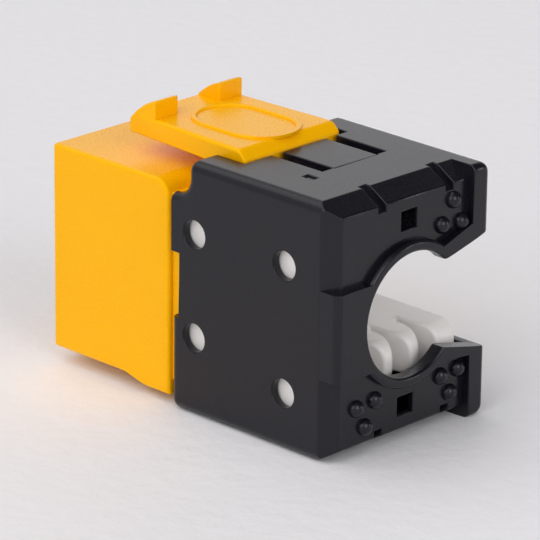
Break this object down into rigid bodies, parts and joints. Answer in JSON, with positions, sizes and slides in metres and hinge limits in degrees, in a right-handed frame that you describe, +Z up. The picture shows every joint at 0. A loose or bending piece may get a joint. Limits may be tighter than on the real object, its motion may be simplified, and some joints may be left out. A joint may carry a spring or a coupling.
{
  "type": "twist wire connector",
  "caption": "Snap-in jack for twisted-pair cable: plug port in front, panel latch on top, rear hood with a C-shaped cable hole over wire fingers and blades.",
  "frame": {"origin": "middle of the footprint in X and Y, on the plane that the hood's underside rests on", "axes": "+Z up towards the panel latch, -Y towards the plug port, +Y towards the cable, +X towards the hood's closed side"},
  "size_m": [0.0154, 0.029, 0.0211],
  "materials": {
    "yellow_plastic": "moulded satin-gloss ABS",
    "black_plastic": "moulded satin ABS",
    "white_plastic": "moulded satin polycarbonate",
    "dark_insulator": "moulded matt PBT",
    "gold_contact": "gold-plated phosphor bronze",
    "tin_blade": "tin-plated phosphor bronze",
    "green_board": "solder-masked FR4"
  },
  "bodies": {
    "jack": {"jack_housing": "yellow_plastic", "contact_carrier": "dark_insulator", "contact_leads": "gold_contact", "circuit_board": "green_board", "blade_block": "dark_insulator", "wire_blade_1": "tin_blade", "wire_blade_2": "tin_blade", "wire_blade_3": "tin_blade", "wire_blade_4": "tin_blade", "wire_blade_5": "tin_blade", "wire_blade_6": "tin_blade", "wire_blade_7": "tin_blade", "wire_blade_8": "tin_blade"},
    "plug_contacts": {"spring_contact_1": "gold_contact", "spring_contact_2": "gold_contact", "spring_contact_3": "gold_contact", "spring_contact_4": "gold_contact", "spring_contact_5": "gold_contact", "spring_contact_6": "gold_contact", "spring_contact_7": "gold_contact", "spring_contact_8": "gold_contact"},
    "panel_latch": {"panel_latch": "yellow_plastic"},
    "hood": {"rear_hood": "black_plastic", "wire_manager": "white_plastic"},
    "snap_tongue": {"hood_snap_tongue": "black_plastic"}
  },
  "joints": [
    {"name": "hood_slide", "type": "slide", "parent": "jack", "child": "hood", "axis": [0, 1, 0], "range_m": [0, 0.012]},
    {"name": "latch_flex", "type": "hinge", "parent": "jack", "child": "panel_latch", "pos_m": [0, 0.002, 0.0171], "axis": [1, 0, 0], "range_deg": [0, 6], "stiffness_Nm_per_rad": 0.002},
    {"name": "contact_flex", "type": "hinge", "parent": "jack", "child": "plug_contacts", "pos_m": [0, -0.0106, 0.01302], "axis": [1, 0, 0], "range_deg": [0, 12], "stiffness_Nm_per_rad": 0.001},
    {"name": "tongue_flex", "type": "hinge", "parent": "hood", "child": "snap_tongue", "pos_m": [0, 0.0079, 0.0186], "axis": [1, 0, 0], "range_deg": [-4, 0], "stiffness_Nm_per_rad": 0.0005}
  ]
}
